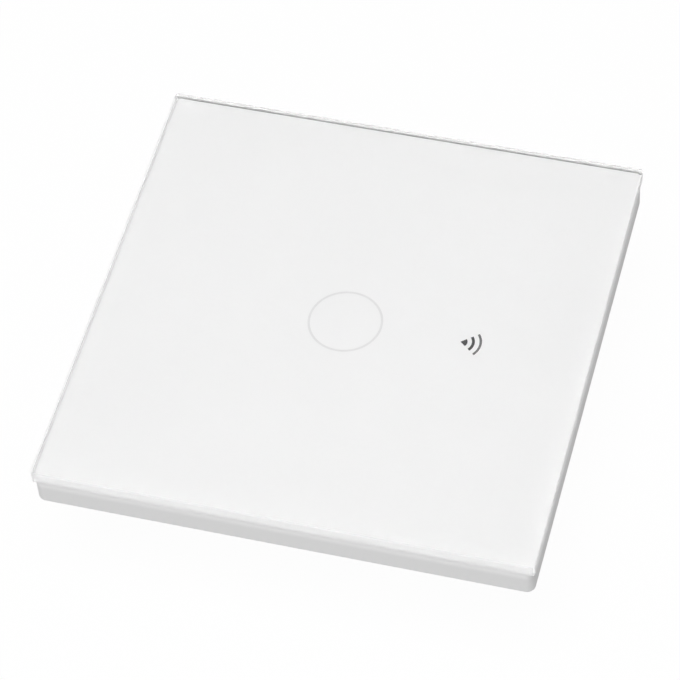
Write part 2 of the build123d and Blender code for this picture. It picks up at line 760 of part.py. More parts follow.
# Bulk capacitor: a rounded can with a crimped groove near the board
with BuildPart() as bulk_capacitor:
    with BuildSketch(under(bulk_x, bulk_y, power_board_back_z)):
        Circle(bulk_radius)
    extrude(amount=bulk_height)
    chamfer(bulk_capacitor.faces().sort_by(Axis.Z)[0].edges(), bulk_bevel)
    with BuildSketch(under(bulk_x, bulk_y, power_board_back_z - bulk_groove_z)):
        Circle(bulk_radius + overrun)
        Circle(bulk_radius - bulk_groove, mode=Mode.SUBTRACT)
    extrude(amount=2 * bulk_groove, mode=Mode.SUBTRACT)
bulk_capacitor.part.label = "bulk_capacitor"
export_step(bulk_capacitor.part, "parts/bulk_capacitor.step")

# Film capacitor across the mains
with BuildPart() as film_capacitor:
    with BuildSketch(under(film_x, film_y, power_board_back_z)):
        RectangleRounded(film_width, film_depth, film_corner)
    extrude(amount=film_height)
    chamfer(film_capacitor.faces().sort_by(Axis.Z)[0].edges(), film_corner / 2)
film_capacitor.part.label = "film_capacitor"
export_step(film_capacitor.part, "parts/film_capacitor.step")

# Varistor: a lacquered disc on two leads
with BuildPart() as varistor:
    with BuildSketch(Plane(
        origin=(varistor_x, varistor_y, power_board_back_z - varistor_rise - varistor_radius),
        x_dir=(1, 0, 0),
        z_dir=(0, -1, 0),
    )):
        Circle(varistor_radius)
    extrude(amount=varistor_thickness / 2, both=True)
    chamfer(varistor.edges(), varistor_bevel)
    with BuildSketch(under(varistor_x, varistor_y, power_board_back_z)):
        with GridLocations(lead_pitch, 0, 2, 1):
            Circle(lead_radius)
    extrude(amount=varistor_rise + varistor_radius * lead_share)
varistor.part.label = "varistor"
export_step(varistor.part, "parts/varistor.step")

# Fusible resistor: a waisted body between two caps, on leads bent up to the board
fuse_z = power_board_back_z - fuse_rise - fuse_radius
with BuildPart() as fuse_resistor:
    fuse_middle = Plane(origin=(fuse_x, fuse_y, fuse_z), x_dir=(0, 1, 0), z_dir=(1, 0, 0))
    with BuildSketch(fuse_middle):
        Circle(fuse_radius - fuse_waist)
    extrude(amount=fuse_length / 2, both=True)
    for side in (-1, 1):
        with BuildSketch(fuse_middle.offset(side * (fuse_length - fuse_cap_length) / 2)):
            Circle(fuse_radius)
        extrude(amount=fuse_cap_length / 2, both=True)
        with BuildLine() as fuse_lead:
            FilletPolyline(
                (fuse_x + side * (fuse_length - fuse_cap_length) / 2, fuse_y, fuse_z),
                (fuse_x + side * (fuse_length / 2 + fuse_lead_reach), fuse_y, fuse_z),
                (fuse_x + side * (fuse_length / 2 + fuse_lead_reach), fuse_y, power_board_back_z),
                radius=fuse_bend,
            )
        with BuildSketch(Plane(origin=fuse_lead.line @ 0, z_dir=fuse_lead.line % 0)):
            Rectangle(2 * lead_radius, 2 * lead_radius)
        sweep(path=fuse_lead.line)
fuse_resistor.part.label = "fuse_resistor"
export_step(fuse_resistor.part, "parts/fuse_resistor.step")

# Bridge rectifier and power chip on the front of the power board
bridge_rectifier = chip(
    rectifier_width, rectifier_length, rectifier_height, four_leg_pitch, rectifier_leg_count,
    Plane(origin=(rectifier_x, rectifier_y, power_board_top_z)),
)
bridge_rectifier.label = "bridge_rectifier"
export_step(bridge_rectifier, "parts/bridge_rectifier.step")

power_chip = chip(
    power_chip_width, power_chip_length, power_chip_height, eight_leg_pitch, chip_leg_count,
    Plane(origin=(power_chip_x, power_chip_y, power_board_top_z)),
)
power_chip.label = "power_chip"
export_step(power_chip, "parts/power_chip.step")

# Terminal block: three cavities, each with a wire hole in front and a driver hole behind
with BuildPart() as terminal_block:
    with BuildSketch(Plane.XY.offset(block_rear_z)):
        with Locations((0, (block_front_y + block_back_y) / 2)):
            Rectangle(block_width, block_depth)
    extrude(amount=power_board_back_z - block_rear_z)
    with BuildSketch(Plane.XY.offset(cavity_rear_z)):
        with Locations([(x, (cavity_front_y + leg_back_y) / 2) for x in pole_places]):
            Rectangle(cavity_width, leg_back_y - cavity_front_y)
    extrude(amount=cavity_front_z - cavity_rear_z, mode=Mode.SUBTRACT)
    with BuildSketch(Plane.XY.offset(cavity_front_z)):
        with Locations([(x, (leg_front_y + leg_back_y) / 2) for x in pole_places]):
            Rectangle(strip_width + 2 * leg_slot_gap, strip_thickness)
    extrude(amount=power_board_back_z - cavity_front_z, mode=Mode.SUBTRACT)
    with BuildSketch(Plane.XY.offset(block_rear_z)):
        with Locations([(x, screw_axis_y) for x in pole_places]):
            Circle(driver_hole_radius)
    extrude(amount=block_rear_wall, mode=Mode.SUBTRACT)
    with BuildSketch(Plane.XZ.offset(-block_front_y)):
        with Locations([(x, wire_axis_z) for x in pole_places]):
            Circle(wire_hole_radius)
    extrude(amount=-block_front_wall, mode=Mode.SUBTRACT)
    wire_mouths = terminal_block.faces().sort_by(Axis.Y)[0].edges().filter_by(GeomType.CIRCLE)
    chamfer(wire_mouths, wire_funnel)
terminal_block.part.label = "terminal_block"
export_step(terminal_block.part, "parts/terminal_block.step")

# Fixed strips that the wires are clamped against, each with a leg up to the power board
with BuildPart() as terminal_contacts:
    for x in pole_places:
        with BuildSketch(Plane.YZ.offset(x)):
            with BuildLine():
                Polyline(
                    (cavity_front_y, strip_rear_z),
                    (leg_back_y, strip_rear_z),
                    (leg_back_y, power_board_back_z),
                    (leg_front_y, power_board_back_z),
                    (leg_front_y, strip_front_z),
                    (cavity_front_y, strip_front_z),
                    close=True,
                )
            make_face()
        extrude(amount=strip_width / 2, both=True)
terminal_contacts.part.label = "terminal_contacts"
export_step(terminal_contacts.part, "parts/terminal_contacts.step")

# In each pole, a cage that the screw draws towards its head, and the screw itself
for pole, x in enumerate(pole_places, start=1):
    with BuildPart() as clamp_cage:
        with BuildSketch(Plane.XY.offset(cage_rear_z)):
            with Locations((x, screw_axis_y)):
                Rectangle(cage_width, cage_length)
        extrude(amount=cage_front_z - cage_rear_z)
        chamfer(clamp_cage.edges().filter_by(Axis.Y), cage_edge_bevel)
        with BuildSketch(Plane.XZ.offset(-screw_axis_y)):
            with Locations((x, (cage_rear_z + cage_end_wall + cage_inner_front_z) / 2)):
                Rectangle(cage_opening, cage_inner_front_z - cage_rear_z - cage_end_wall)
        extrude(amount=cage_length, both=True, mode=Mode.SUBTRACT)
        with BuildSketch(Plane.XY.offset(cage_rear_z)):
            with Locations((x, screw_axis_y)):
                Circle(clamp_screw_radius + thread_clearance)
        extrude(amount=cage_end_wall, mode=Mode.SUBTRACT)
    clamp_cage.part.label = f"clamp_cage_{pole}"
    export_step(clamp_cage.part, f"parts/clamp_cage_{pole}.step")

    with BuildPart() as terminal_screw:
        with BuildSketch(Plane.XY.offset(head_rear_z)):
            with Locations((x, screw_axis_y)):
                Circle(head_radius)
        extrude(amount=head_height)
        with BuildSketch(Plane.XY.offset(head_rear_z)):
            with Locations((x, screw_axis_y)):
                Rectangle(2 * head_radius, head_slot_width)
        extrude(amount=head_slot_depth, mode=Mode.SUBTRACT)
        with BuildSketch(Plane.XY.offset(head_front_z)):
            with Locations((x, screw_axis_y)):
                Circle(clamp_screw_radius)
        extrude(amount=screw_tip_z - head_front_z)
        chamfer(terminal_screw.faces().sort_by(Axis.Z)[-1].edges(), screw_tip_bevel)
    terminal_screw.part.label = f"terminal_screw_{pole}"
    export_step(terminal_screw.part, f"parts/terminal_screw_{pole}.step")
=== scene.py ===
# %% [markdown]
# A touch light switch: a white glass front that pulls off a wired base in the wall box.
# Its solids are loaded first, as a fixed frame in metres, and all that is made here sits
# on them. +Z points out of the wall through the glass, and +Y points up along the wall.

# %% Load the frame
import json
import math

import bmesh
import bpy
from mathutils import Matrix, Vector


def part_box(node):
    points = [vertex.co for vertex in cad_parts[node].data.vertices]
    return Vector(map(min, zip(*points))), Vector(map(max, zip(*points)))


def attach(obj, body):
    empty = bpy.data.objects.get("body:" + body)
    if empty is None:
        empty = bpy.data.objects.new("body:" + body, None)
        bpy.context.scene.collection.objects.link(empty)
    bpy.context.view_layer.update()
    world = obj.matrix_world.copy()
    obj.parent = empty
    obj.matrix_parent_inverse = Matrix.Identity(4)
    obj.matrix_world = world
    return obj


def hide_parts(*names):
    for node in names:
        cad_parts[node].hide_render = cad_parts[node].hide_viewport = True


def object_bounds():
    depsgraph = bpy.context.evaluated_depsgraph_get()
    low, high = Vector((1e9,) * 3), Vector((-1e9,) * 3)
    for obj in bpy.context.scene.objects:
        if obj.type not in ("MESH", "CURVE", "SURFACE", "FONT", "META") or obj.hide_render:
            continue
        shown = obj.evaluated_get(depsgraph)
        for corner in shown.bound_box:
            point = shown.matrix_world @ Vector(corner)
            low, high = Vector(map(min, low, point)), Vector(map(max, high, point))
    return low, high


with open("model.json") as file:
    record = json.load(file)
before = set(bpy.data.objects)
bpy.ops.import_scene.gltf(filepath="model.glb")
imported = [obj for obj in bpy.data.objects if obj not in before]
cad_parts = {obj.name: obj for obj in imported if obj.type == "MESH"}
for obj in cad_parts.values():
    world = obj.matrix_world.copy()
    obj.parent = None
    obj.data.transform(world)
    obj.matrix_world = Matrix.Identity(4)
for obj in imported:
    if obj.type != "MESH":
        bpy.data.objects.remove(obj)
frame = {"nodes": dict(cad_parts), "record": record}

MM = 0.001
scene = bpy.context.scene
solids = frame["nodes"]
cad_low, cad_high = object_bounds()
glass_low, glass_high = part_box("glass_panel")
print("the solids measure", [round(side / MM, 2) for side in cad_high - cad_low], "mm")

# %% [markdown]
# The camera stands where a photographer would stand to show the front and two edges of a
# flat thing. It could be aimed by a constraint, but a matrix built from the azimuth, the
# elevation and the roll keeps every number of the view in one place.

# %% Camera
camera_azimuth = math.radians(109.133)
camera_elevation = math.radians(52.636)
camera_roll = math.radians(-5.3595)
camera_distance = 567.22 * MM
camera_aim = Vector((5.2987 * MM, 0.5518 * MM, glass_high.z))
camera_lens = 176.593
camera_sensor = 36.0
camera_reach = 100


def direction(azimuth, elevation):
    """Where a thing stands as seen from the object: azimuth 0 is towards -Y, 90 towards +X."""
    flat = math.cos(elevation)
    return Vector((math.sin(azimuth) * flat, -math.cos(azimuth) * flat, math.sin(elevation)))


def make_camera():
    back = direction(camera_azimuth, camera_elevation)
    level = Vector((0, 0, 1)).cross(back).normalized()
    upright = back.cross(level)
    right = math.cos(camera_roll) * level + math.sin(camera_roll) * upright
    up = math.cos(camera_roll) * upright - math.sin(camera_roll) * level
    lens = bpy.data.cameras.new("camera")
    lens.lens = camera_lens
    lens.sensor_width = camera_sensor
    lens.clip_start = camera_distance / camera_reach
    lens.clip_end = camera_distance * camera_reach
    camera = bpy.data.objects.new("camera", lens)
    turn = Matrix((right, up, back)).transposed().to_4x4()
    camera.matrix_world = Matrix.Translation(camera_aim + camera_distance * back) @ turn
    scene.collection.objects.link(camera)
    scene.camera = camera


make_camera()
print("camera at", [round(side / MM) for side in scene.camera.matrix_world.translation], "mm")

# %% [markdown]
# A finish varies over a surface by a sum of small patterns, and such a sum is easier to
# read as an expression than as a list of nodes. One small class wraps a socket, so that
# plus, minus and times add the Math nodes.


# %% Sockets as values
class Wire:
    """A socket in a node tree. Arithmetic on it adds Math nodes."""

    def __init__(self, tree, socket):
        self.tree = tree
        self.socket = socket

    def __add__(self, other):
        return self.tree.maths("ADD", self, other)

    def __sub__(self, other):
        return self.tree.maths("SUBTRACT", self, other)

    def __rsub__(self, other):
        return self.tree.maths("SUBTRACT", other, self)

    def __mul__(self, other):
        return self.tree.maths("MULTIPLY", self, other)

    def __truediv__(self, other):
        return self.tree.maths("DIVIDE", self, other)

    def __abs__(self):
        return self.tree.maths("ABSOLUTE", self)

    __radd__ = __add__
    __rmul__ = __mul__


# %% [markdown]
# Every other node comes from one method, which takes its kind, its settings and its
# sockets. Lines that set them one by one would do as well, but this way a node is one
# line, and the settings come first, because they decide which sockets a node has.


# %% Node trees
class Tree:
    """A node tree, filled through one method."""

    def __init__(self, node_tree):
        self.node_tree = node_tree

    def feed(self, socket, value):
        if isinstance(value, Wire):
            self.node_tree.links.new(value.socket, socket)
        else:
            socket.default_value = value

    def make(self, kind, settings=None, values=None):
        """A new node: its settings first, then the values or links of its sockets."""
        made = self.node_tree.nodes.new(kind)
        for name, value in (settings or {}).items():
            setattr(made, name, value)
        for name, value in (values or {}).items():
            self.feed(made.inputs[name], value)
        return made

    def node(self, kind, settings=None, values=None, output=0):
        """One output of a new node."""
        return Wire(self, self.make(kind, settings, values).outputs[output])

    def maths(self, operation, *values):
        return self.node("ShaderNodeMath", {"operation": operation}, dict(enumerate(values)))

    def between(self, value, low, high):
        """0 below low, 1 above high, smooth in between."""
        values = {"Value": value, "From Min": low, "From Max": high}
        return self.node("ShaderNodeMapRange", {"interpolation_type": "SMOOTHSTEP"}, values)

    def blend(self, share, first, second):
        """The first colour where share is 0, the second where it is 1."""
        values = {0: share, 6: first, 7: second}
        return self.node("ShaderNodeMix", {"data_type": "RGBA"}, values, output=2)


# %% [markdown]
# A finish is a material with one main shader. Its patterns start from the place on the object,
# in millimetres where a size matters. An unwrapped map would do too, but hard parts have no
# need of one, and a pattern by place runs on over the edge from one face to the next.

# %% Finishes
noise_low, noise_high = 0.3, 0.7


def grey(level):
    return (level, level, level, 1.0)


class Finish(Tree):
    """A material with its Principled shader."""

    def __init__(self, name, colour, roughness, constants=None):
        self.material = bpy.data.materials.new(name)
        self.material.use_nodes = True
        super().__init__(self.material.node_tree)
        self.shader = self.node_tree.nodes["Principled BSDF"]
        self.colour = (*colour, 1.0)
        self.shader.inputs["Base Color"].default_value = self.colour
        self.shader.inputs["Roughness"].default_value = roughness
        for socket, value in (constants or {}).items():
            self.shader.inputs[socket].default_value = value
        self.place = self.node("ShaderNodeTexCoord", output="Object")

    def axes(self):
        """The place on the object as three values, in millimetres."""
        parted = self.make("ShaderNodeSeparateXYZ", None, {"Vector": self.place})
        return [Wire(self, output) * (1 / MM) for output in parted.outputs]

    def stretched(self, x, y, z):
        """The place, scaled apart along each axis, for a pattern with a direction."""
        return self.node("ShaderNodeMapping", None, {"Vector": self.place, "Scale": (x, y, z)})

    def noise(self, size, detail=2.0, place=None):
        """Cloudy pattern from 0 to 1, with patches about size across."""
        values = {"Vector": place or self.place, "Scale": 1 / size, "Detail": detail}
        return self.node("ShaderNodeTexNoise", None, values)

    def cells(self, size):
        """Distance to the nearest of scattered points about size apart: 0 at each point."""
        return self.node("ShaderNodeTexVoronoi", None, {"Vector": self.place, "Scale": 1 / size})

    def spread(self, wire, low, high):
        """Moves a pattern, which mostly keeps to its middle, onto the range from low to high."""
        values = {"Value": wire, "From Min": noise_low, "From Max": noise_high,
                  "To Min": low, "To Max": high}
        return self.node("ShaderNodeMapRange", None, values)

    def relief(self, height, depth):
        """Bumps the surface by depth where height goes from 0 to 1."""
        values = {"Height": height, "Distance": depth}
        self.feed(self.shader.inputs["Normal"], self.node("ShaderNodeBump", None, values))

    def vary(self, wire, lighten=1.0, darken=1.0):
        """Scales the base colour from darken to lighten as the pattern goes from 0 to 1."""
        low = [channel * darken for channel in self.colour[:3]] + [1.0]
        high = [min(channel * lighten, 1.0) for channel in self.colour[:3]] + [1.0]
        self.feed(self.shader.inputs["Base Color"], self.blend(wire, low, high))

    def set(self, socket, value):
        self.feed(self.shader.inputs[socket], value)


# %% [markdown]
# The stage is a pale floor that runs out of sight, and a white world. White could be pasted
# in behind the picture, but the object would lose its shadow. Instead a camera ray that
# meets either sees almost plain white, which costs the object no light. A small share of
# what the floor shows is the light that really falls on it, so it keeps a soft shadow.

# %% Stage
floor_radius = 3.0
floor_sides = 64
floor_gap = 0.05 * MM
floor_bounce = grey(0.44)
floor_paint_seen = grey(0.95)
floor_glow_share = 0.97
world_strength = 0.33
white = grey(1.0)


def seen_directly(tree):
    """1 for rays that show the background: straight ones, and those by mirror or glass."""
    rays = [tree.node("ShaderNodeLightPath", output=name)
            for name in ("Is Camera Ray", "Is Glossy Ray", "Is Transmission Ray")]
    return tree.maths("MAXIMUM", tree.maths("MAXIMUM", rays[0], rays[1]), rays[2])


def make_world():
    world = bpy.data.worlds.new("world")
    world.use_nodes = True
    tree = Tree(world.node_tree)
    lit = tree.node("ShaderNodeBackground", None, {"Color": white, "Strength": world_strength})
    shown = tree.node("ShaderNodeBackground", None, {"Color": white, "Strength": 1.0})
    mixed = tree.node("ShaderNodeMixShader", None, {0: seen_directly(tree), 1: lit, 2: shown})
    tree.feed(world.node_tree.nodes["World Output"].inputs["Surface"], mixed)
    scene.world = world


def make_floor():
    paint = bpy.data.materials.new("floor_paint")
    paint.use_nodes = True
    tree = Tree(paint.node_tree)
    bounce = tree.node("ShaderNodeBsdfDiffuse", None, {"Color": floor_bounce})
    matt = tree.node("ShaderNodeBsdfDiffuse", None, {"Color": floor_paint_seen})
    glow = tree.node("ShaderNodeEmission", None, {"Color": white, "Strength": 1.0})
    pale = tree.node("ShaderNodeMixShader", None, {0: floor_glow_share, 1: matt, 2: glow})
    mixed = tree.node("ShaderNodeMixShader", None, {0: seen_directly(tree), 1: bounce, 2: pale})
    tree.feed(paint.node_tree.nodes["Material Output"].inputs["Surface"], mixed)
    mesh = bpy.data.meshes.new("floor")
    shape = bmesh.new()
    bmesh.ops.create_circle(shape, cap_ends=True, radius=floor_radius, segments=floor_sides)
    bmesh.ops.translate(shape, verts=shape.verts, vec=(0, 0, cad_low.z - floor_gap))
    shape.to_mesh(mesh)
    shape.free()
    mesh.materials.append(paint)
    floor = bpy.data.objects.new("floor", mesh)
    scene.collection.objects.link(floor)


make_world()
make_floor()
scene.view_settings.view_transform = "Standard"
print("floor at", round((cad_low.z - floor_gap) / MM, 2), "mm")

# %% [markdown]
# The large key lamp stands high on the camera's side. Its light goes through the glass to
# the far and left sides, which throw it back on the enamel, so that rim stays bright; a
# lamp behind would leave a dark band there. A low lamp in front lifts the near edge, and
# the right-hand edge is left to the light of the room.


# %% Lamps
def make_lamp(name, azimuth, elevation, distance, size, power):
    light = bpy.data.lights.new(name, "AREA")
    light.shape = "DISK"
    light.size = size
    light.energy = power
    back = direction(math.radians(azimuth), math.radians(elevation))
    lamp = bpy.data.objects.new(name, light)
    lamp.location = back * distance
    lamp.rotation_mode = "QUATERNION"
    lamp.rotation_quaternion = back.to_track_quat("Z", "Y")
    scene.collection.objects.link(lamp)


make_lamp("key_lamp", azimuth=95, elevation=73, distance=1.2, size=0.6, power=8.95)
make_lamp("near_lamp", azimuth=90, elevation=10, distance=1.2, size=0.8, power=3.8)

# %% [markdown]
# The front is toughened glass. Two of its sides are polished clear and the other two are
# ground dull. Rough glass alone would do for those, but a ground side also scatters light
# at its very surface, so a matt shader is mixed in by a mask that knows the side from the
# face. The dull sides get painted shade along their foot. The bare arris behind is painted
# dark as the shade under the glass, darker on the far and near sides than on the other two,
# and that painted shade makes the dark line at the far edge when one looks down through the glass.

# %% Glass finish
glass_index = 1.52
clear_glass = Finish("clear_glass", (1.0, 1.0, 1.0), 0.0, {
    "Transmission Weight": 1.0,
    "IOR": glass_index,
})
rim_width = 0.52
mask_edge = 0.04
dull_roughness = 0.33
near_milk = 0.42
upper_milk = 0.63
milk = grey(0.99)
# painted shade: the dull sides are coloured darker towards their foot, with more of the matt
# shader there, for the frame's shade under the glass
foot_milk = 0.08
foot_height = 1.5
painted_foot_shade = grey(0.97)
back_arris = 0.2
# painted shade: the bare back arris is coloured dark for the shade under the glass, darkest on the
# far and near sides
painted_arris_shades = (grey(0.30), grey(0.92))
arris_mitre = 0.2
matt_roughness = 0.6


def grind_edges():
    """Dull sides towards +X and +Y with painted shade along their foot, and a bare back arris
    painted dark as shade.
    """
    x, y, z = clear_glass.axes()
    rim = clear_glass.maths("MAXIMUM", abs(x), abs(y))
    side_at = glass_high.x / MM
    above_foot = z - glass_low.z / MM
    at_rim = clear_glass.between(rim, side_at - rim_width, side_at - rim_width + mask_edge)
    near, upper = [clear_glass.between(way, side_at - 2 * mask_edge, side_at - mask_edge)
                   for way in (x, y)]
    dull = clear_glass.maths("MAXIMUM", near, upper)
    bare = at_rim * (1 - clear_glass.between(above_foot, back_arris - mask_edge, back_arris))
    low = dull * (1 - clear_glass.between(above_foot, back_arris, foot_height))
    clear_glass.set("Roughness", dull * dull_roughness)
    # painted shade: the arris colour changes from side to side, darker on the far and near sides
    # than on the left and right
    painted_shade_side = clear_glass.between(abs(y) - abs(x), -arris_mitre, arris_mitre)
    painted_arris_shade = clear_glass.blend(painted_shade_side, *painted_arris_shades)
    colour = clear_glass.blend(bare, clear_glass.blend(low, milk, painted_foot_shade), painted_arris_shade)
    values = {"Base Color": colour, "Roughness": matt_roughness, "IOR": glass_index}
    matt = clear_glass.node("ShaderNodeBsdfPrincipled", None, values)
    milkiness = clear_glass.maths("MAXIMUM", near * near_milk, upper * upper_milk)
    share = (milkiness + low * foot_milk) * (1 - bare) + bare
    clear = Wire(clear_glass, clear_glass.shader.outputs["BSDF"])
    mixed = clear_glass.node("ShaderNodeMixShader", None, {0: share, 1: clear, 2: matt})
    clear_glass.feed(clear_glass.node_tree.nodes["Material Output"].inputs["Surface"], mixed)


grind_edges()
print("glass", round(glass_high.z / MM - glass_low.z / MM, 2), "mm thick")

# %% [markdown]
# The white is enamel fired on the back of the glass. A white front face would be simpler,
# but it would lose the depth and the clear rim. The ring is a bare line in the enamel with
# a thin translucent print over it. Both are matt, with an unevenness that the eye feels
# rather than sees.

# %% Enamel and ring print
enamel_cloud, enamel_shade = 6, 0.995
enamel = Finish("white_enamel", (0.94, 0.94, 0.94), 0.55)
enamel.vary(enamel.spread(enamel.noise(enamel_cloud * MM), 0.0, 1.0), 1.0, enamel_shade)

ring_cloud, ring_shade = 1.5, 0.97
ring_print = Finish("ring_print", (0.82, 0.82, 0.82), 0.5)
ring_noise = ring_print.noise(ring_cloud * MM)
ring_print.vary(ring_print.spread(ring_noise, 0.0, 1.0), 1.0, ring_shade)
print("enamel and print:", enamel.material.name, ring_print.material.name)

# %% [markdown]
# The printed layers are flat shapes of an even thickness. They could be cut from a sheet
# by booleans, but a filled 2D curve does it in one step: an outline inside another one
# is left out as a hole, and the curve's extrusion is the thickness. The curve leaves its
# caps loose from its sides, so the points that coincide are welded afterwards.

# %% Flat pieces
contact = 0.02 * MM
weld_distance = 0.002 * MM
print_low, print_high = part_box("back_print")
ring_radius = 6.3 * MM
ring_line = 0.4 * MM


def make_piece(name, mesh, finish, body):
    """Links a mesh as a piece with its finish, slot and body."""
    mesh.name = name
    mesh.materials.clear()
    mesh.materials.append(finish.material)
    piece = bpy.data.objects.new(name, mesh)
    scene.collection.objects.link(piece)
    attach(piece, body)
    return piece


def flat_mesh(outlines, low, high):
    """A flat shape between two heights, from closed outlines: inner ones are holes."""
    curve = bpy.data.curves.new("outline", "CURVE")
    curve.dimensions = "2D"
    curve.fill_mode = "BOTH"
    curve.extrude = (high - low) / 2
    for points in outlines:
        spline = curve.splines.new("POLY")
        spline.points.add(len(points) - 1)
        for point, (x, y) in zip(spline.points, points):
            point.co = (x, y, 0, 1)
        spline.use_cyclic_u = True
    source = bpy.data.objects.new("outline", curve)
    scene.collection.objects.link(source)
    bpy.context.view_layer.update()
    filled = source.evaluated_get(bpy.context.evaluated_depsgraph_get())
    mesh = bpy.data.meshes.new_from_object(filled)
    bpy.data.objects.remove(source)
    shape = bmesh.new()
    shape.from_mesh(mesh)
    bmesh.ops.remove_doubles(shape, verts=shape.verts, dist=weld_distance)
    bmesh.ops.translate(shape, verts=shape.verts, vec=(0, 0, (high + low) / 2))
    bmesh.ops.recalc_face_normals(shape, faces=shape.faces)
    shape.to_mesh(mesh)
    shape.free()
    return mesh


def arc(radius, centre, start, end, count):
    """Points of an arc, both ends included, with its angles in degrees."""
    turns = [math.radians(start + (end - start) * step / count) for step in range(count + 1)]
    return [(centre[0] + radius * math.cos(t), centre[1] + radius * math.sin(t)) for t in turns]


def circle(radius, centre=(0, 0), count=96):
    return arc(radius, centre, 0, 360, count)[:-1]


# %% [markdown]
# The pictogram is a wedge with two arcs over it, the general sign for a wireless link. It
# is drawn from arcs about one apex, so its proportions are four numbers, and its print is
# smoked: nearly black at the wedge and thinner at the outer arc.

# %% Pictogram
fan_apex = (0.0, 20.3 * MM)
fan_half_angle = 39.0
fan_wedge_radius = 1.2 * MM
fan_arcs = ((2.2 * MM, 0.50 * MM), (3.45 * MM, 0.42 * MM))
print_level, thin_level = 0.010, 0.12
thin_from, thin_to = 2.6, 3.2
arc_steps = 24


def fan_outlines():
    """A wedge and two arcs that open upwards."""
    start, end = 90 - fan_half_angle, 90 + fan_half_angle
    outlines = [[fan_apex] + arc(fan_wedge_radius, fan_apex, start, end, arc_steps // 2)]
    for radius, line in fan_arcs:
        outer = arc(radius + line / 2, fan_apex, start, end, arc_steps)
        inner = arc(radius - line / 2, fan_apex, end, start, arc_steps)
        outlines.append(outer + inner)
    return outlines


smoked_print = Finish("smoked_print", [print_level] * 3, 0.5)
x, y, z = smoked_print.axes()
apex_x, apex_y = [value / MM for value in fan_apex]
reach = smoked_print.maths("SQRT", (x - apex_x) * (x - apex_x) + (y - apex_y) * (y - apex_y))
thinner = smoked_print.between(reach, thin_from, thin_to)
smoked_print.set("Base Color", smoked_print.blend(thinner, grey(print_level), grey(thin_level)))
print("pictogram:", len(fan_outlines()), "outlines")

# %% [markdown]
# Enamel and glass are in optical contact. Faces that coincide would flicker, and a gap
# would mirror, so the layers made here reach a hair into the glass. The sheet replaces the
# plain solid of the record, and the ring and the pictogram fill its openings.

# %% Enamel sheet, ring and pictogram
def rounded_square(low, high, corner, count=6):
    """A square about the origin, its corners rounded by count steps each."""
    outline = []
    corners = ((high.x, high.y), (low.x, high.y), (low.x, low.y), (high.x, low.y))
    for turn, (x, y) in enumerate(corners):
        centre = (x - math.copysign(corner, x), y - math.copysign(corner, y))
        outline += arc(corner, centre, 90 * turn, 90 * (turn + 1), count)
    return outline


print_corner = 0.4 * MM
square = rounded_square(print_low, print_high, print_corner)
ring_outer = circle(ring_radius + ring_line / 2)
ring_inner = circle(ring_radius - ring_line / 2)
top = print_high.z + contact
enamel_mesh = flat_mesh([square, ring_outer, ring_inner] + fan_outlines(), print_low.z, top)
enamel_sheet = make_piece("enamel_sheet", enamel_mesh, enamel, "front_panel")
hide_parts("back_print")
ring_mesh = flat_mesh([ring_outer, ring_inner], print_low.z, top)
make_piece("ring_window", ring_mesh, ring_print, "front_panel")
fan_mesh = flat_mesh(fan_outlines(), print_low.z, top)
make_piece("pictogram", fan_mesh, smoked_print, "front_panel")
print("enamel sheet:", len(enamel_mesh.polygons), "faces")

# %% [markdown]
# Every other piece keeps its solid and gets a finish. A moulding shows the fine grain of
# its mould and a slightly uneven gloss, so one function makes them all from three numbers.
# The colours come from the record, so the file of facts and the picture can't drift apart.

# %% Plastics
colours = {slot["slot"]: slot["base_color"][:3] for slot in frame["record"]["materials"]}
finishes = {"clear_glass": clear_glass, "white_enamel": enamel}
mouldings = {
    "white_plastic": (0.25, 0.004, 0.50),
    "housing_plastic": (0.35, 0.012, 0.62),
    "black_plastic": (0.20, 0.006, 0.50),
    "terminal_plastic": (0.25, 0.008, 0.46),
    "relay_case": (0.30, 0.002, 0.30),
    "film_case": (0.30, 0.004, 0.34),
    "chip_epoxy": (0.12, 0.004, 0.55),
    "diffuser": (0.50, 0.002, 0.38),
    "lamp_body": (0.30, 0.001, 0.22),
    "capacitor_sleeve": (1.20, 0.006, 0.30),
    "varistor_lacquer": (0.90, 0.020, 0.24),
    "fuse_lacquer": (0.50, 0.010, 0.42),
    "coil_tape": (1.50, 0.004, 0.28),
}
gloss_grains = 12
gloss_swing = 0.04
cloud_size = 15
cloud_shade = 0.985


def moulding(slot, grain, depth, roughness):
    """Plastic with a grain, in mm, and a slightly uneven gloss and colour."""
    finish = Finish(slot, colours[slot], roughness)
    finish.grain = finish.noise(grain * MM) * depth
    finish.relief(finish.grain, MM)
    gloss = finish.noise(gloss_grains * grain * MM)
    finish.set("Roughness", finish.spread(gloss, roughness - gloss_swing, roughness + gloss_swing))
    finish.vary(finish.spread(finish.noise(cloud_size * MM), 0.0, 1.0), 1.0, cloud_shade)
    return finish


for slot, (grain, depth, roughness) in mouldings.items():
    finishes[slot] = moulding(slot, grain, depth, roughness)

print(len(mouldings), "plastics")

# %% [markdown]
# Light that enters the glass leaves it again under its edge and falls on the top of the
# frame. The lamps can't show that through glass without much noise, so the moulding is
# made a little paler there, in a band that fades downwards.

# %% The frame's paler rim
white_plastic = finishes["white_plastic"]
rim_glow_depth = 1.9
rim_glow_edge = 0.1
rim_glow = 1.25
x, y, z = white_plastic.axes()
frame_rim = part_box("bezel_frame")[1].z / MM
glow = white_plastic.between(z, frame_rim - rim_glow_depth, frame_rim - rim_glow_edge)
white_plastic.vary(glow, rim_glow, 1.0)
print("paler over", rim_glow_depth, "mm")

# %% [markdown]
# Foams are open cells. Real holes would cost thousands of faces for something finer than a hair,
# so scattered points drawn as relief stand in, with painted shade in the hollows and painted light
# on the walls.

# %% Foams
hollow_from, hollow_to = 0.1, 0.6
# painted shade and light: the hollows are coloured darker and the walls paler, as the cells would
# be shaded and lit
painted_wall_light, painted_hollow_shade = 1.15, 0.7


